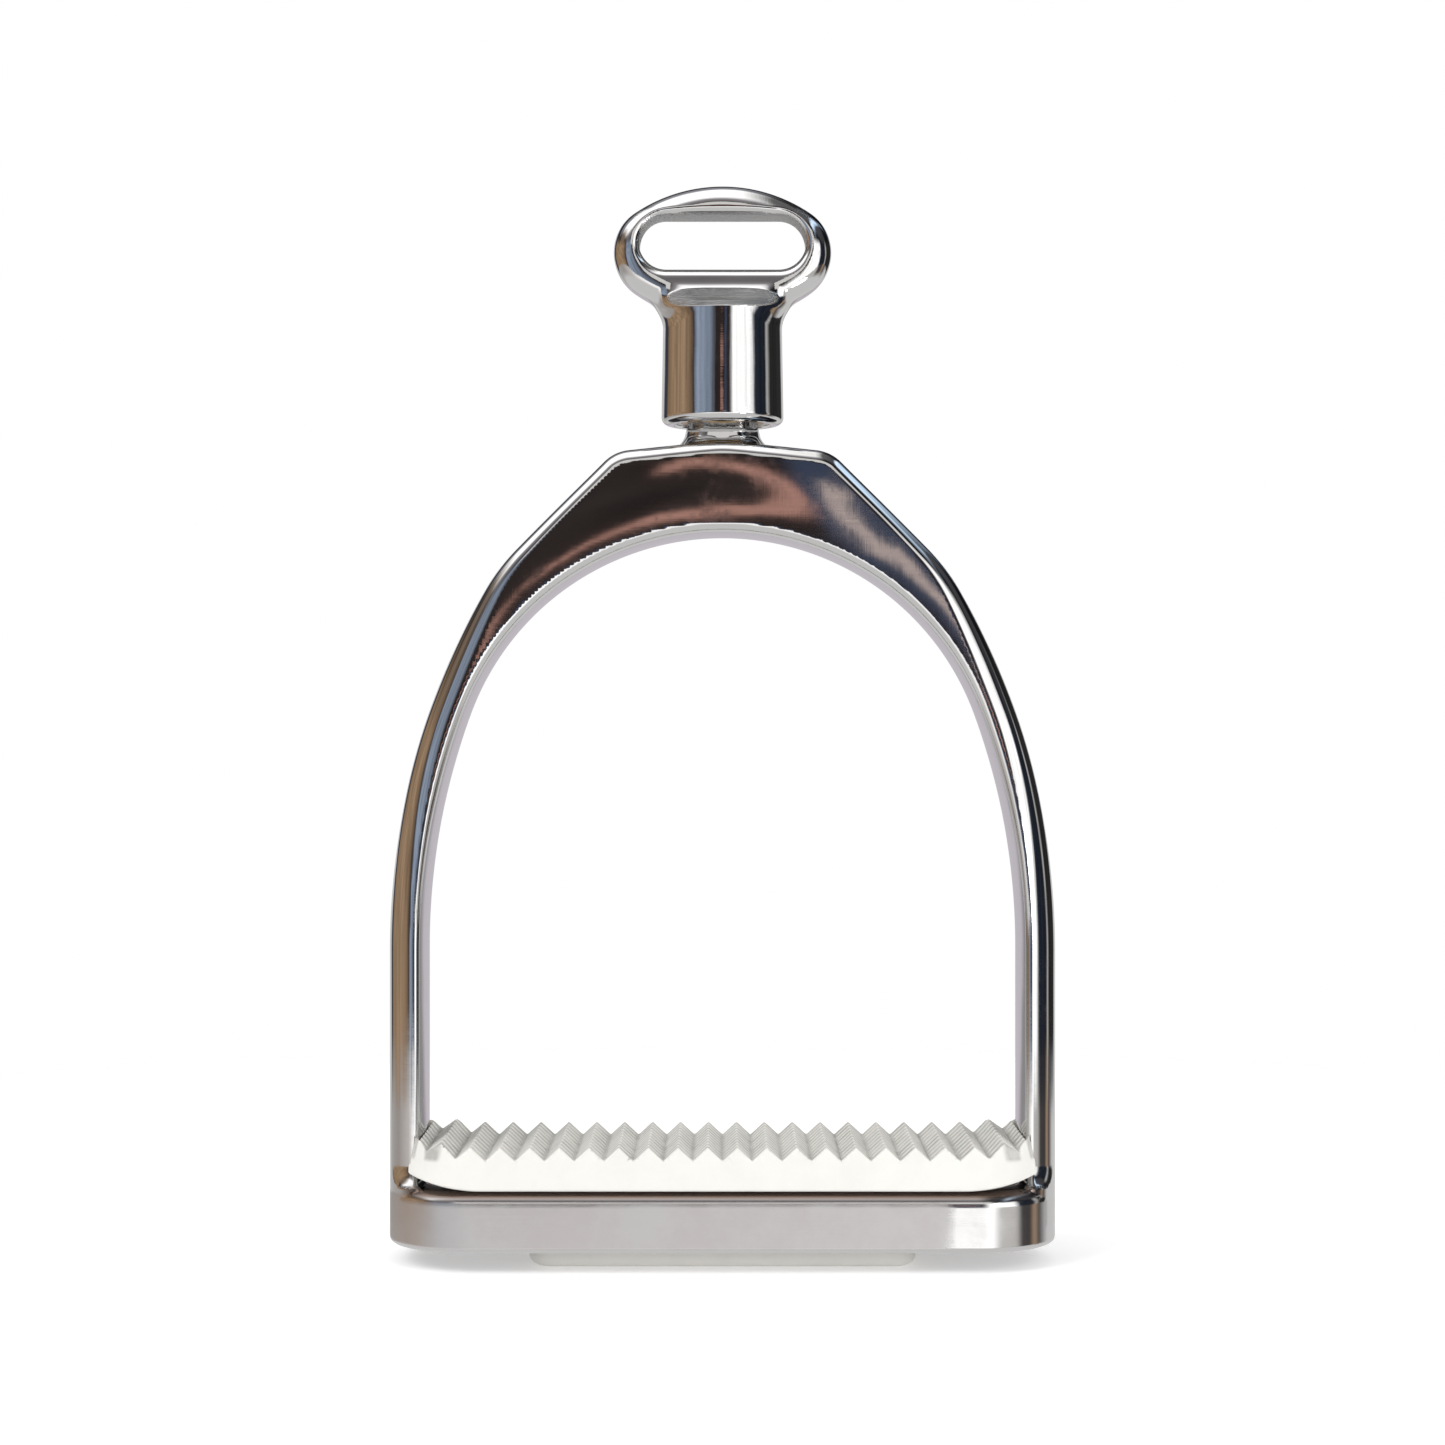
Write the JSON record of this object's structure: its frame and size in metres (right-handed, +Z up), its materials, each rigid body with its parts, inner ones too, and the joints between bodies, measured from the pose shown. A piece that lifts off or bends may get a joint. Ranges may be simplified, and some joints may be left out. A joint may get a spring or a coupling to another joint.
{
  "type": "stirrup iron",
  "caption": "Polished steel riding stirrup: arched bow on a ringed tread with a ribbed rubber pad, and a swivelling eye for the stirrup leather.",
  "frame": {"origin": "centre of the rubber plug's underside, which the stirrup stands on", "axes": "+Z up along the swivel axis, +X across the foot opening, +Y from the near face to the far face"},
  "size_m": [0.1334, 0.038, 0.2157],
  "materials": {
    "bow_steel": "mirror polished stainless steel with fine polishing marks, satin on the ring's wall",
    "eye_steel": "mirror polished stainless steel, left rough in the slot",
    "collar_steel": "turned stainless steel",
    "bush_bronze": "turned bearing bronze",
    "washer_steel": "ground steel",
    "nut_steel": "machined stainless steel",
    "pin_steel": "drawn steel",
    "disc_nylon": "natural nylon",
    "pad_rubber": "matt off-white rubber"
  },
  "bodies": {
    "iron": {"stirrup_body": "bow_steel", "thrust_washer": "washer_steel", "stud_nut": "nut_steel", "nut_cross_pin": "pin_steel", "tread_pad": "pad_rubber"},
    "eye": {"swivel_eye": "eye_steel", "retaining_collar": "collar_steel", "neck_bush": "bush_bronze", "top_thrust_disc": "disc_nylon"}
  },
  "joints": [
    {"name": "eye_swivel", "type": "hinge", "parent": "iron", "child": "eye", "pos_m": [0, 0, 0.1702], "axis": [0, 0, 1], "continuous": true}
  ]
}
